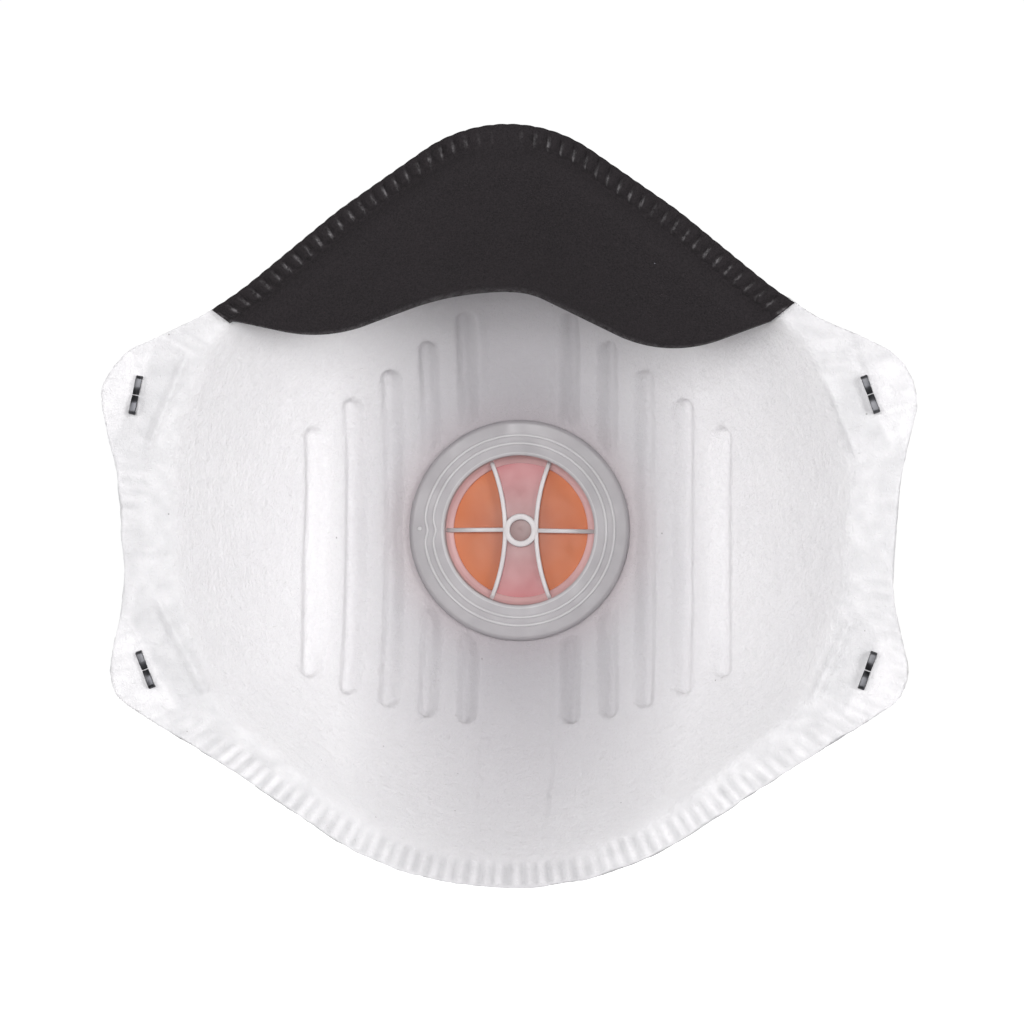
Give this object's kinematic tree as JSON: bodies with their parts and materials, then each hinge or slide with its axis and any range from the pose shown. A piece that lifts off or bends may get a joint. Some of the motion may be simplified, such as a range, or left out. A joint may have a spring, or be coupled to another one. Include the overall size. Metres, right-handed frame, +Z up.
{
  "type": "disposable dust mask",
  "caption": "Moulded cup-shaped disposable dust mask with layered webs, nose foam, bendable nose clip, exhalation valve and two stapled elastic straps.",
  "frame": {"origin": "middle of the rim plane on the face side, where the mask meets the face", "axes": "+Z up towards the nose, +X across the face, +Y forward away from the wearer"},
  "size_m": [0.1438, 0.0642, 0.1352],
  "materials": {
    "lining_web": "soft white spunbond non-woven",
    "shell_web": "stiff thermoformed needle felt",
    "filter_media": "fine melt-blown fibre web",
    "outer_web": "white spunbond non-woven",
    "foam": "open-cell dark grey polyurethane foam",
    "clip_metal": "soft bendable strip, satin",
    "seat_plastic": "translucent natural polypropylene",
    "diaphragm": "thin milky elastomer",
    "cover_plastic": "translucent red-orange polypropylene",
    "elastic": "white braided elastic",
    "staple_wire": "dark flat wire"
  },
  "bodies": {
    "root": {"inner_lining": "lining_web", "support_shell": "shell_web", "filter_web": "filter_media", "outer_cover_web": "outer_web", "nose_foam": "foam", "nose_clip": "clip_metal", "valve_seat": "seat_plastic", "diaphragm_strip": "diaphragm", "valve_cover": "cover_plastic", "upper_strap_ends": "elastic", "lower_strap_ends": "elastic", "staple_upper_left": "staple_wire", "staple_upper_right": "staple_wire", "staple_lower_left": "staple_wire", "staple_lower_right": "staple_wire"},
    "flap_left": {"diaphragm_flap_left": "diaphragm"},
    "flap_right": {"diaphragm_flap_right": "diaphragm"},
    "upper_band": {"upper_strap": "elastic"},
    "lower_band": {"lower_strap": "elastic"}
  },
  "joints": [
    {"name": "flap_left_bend", "type": "hinge", "parent": "root", "child": "flap_left", "pos_m": [-0.0058, 0.0526, -0.0044], "axis": [0, 0, -1], "range_deg": [0, 28], "stiffness_Nm_per_rad": 0.0002},
    {"name": "flap_right_bend", "type": "hinge", "parent": "root", "child": "flap_right", "pos_m": [0.0058, 0.0526, -0.0044], "axis": [0, 0, 1], "range_deg": [0, 28], "stiffness_Nm_per_rad": 0.0002},
    {"name": "upper_strap_swing", "type": "hinge", "parent": "root", "child": "upper_band", "pos_m": [0, 0.00352, 0.0197], "axis": [1, 0, 0], "range_deg": [0, 60], "stiffness_Nm_per_rad": 0.02},
    {"name": "lower_strap_swing", "type": "hinge", "parent": "root", "child": "lower_band", "pos_m": [0, 0.0035, -0.0289], "axis": [-1, 0, 0], "range_deg": [0, 60], "stiffness_Nm_per_rad": 0.02}
  ]
}
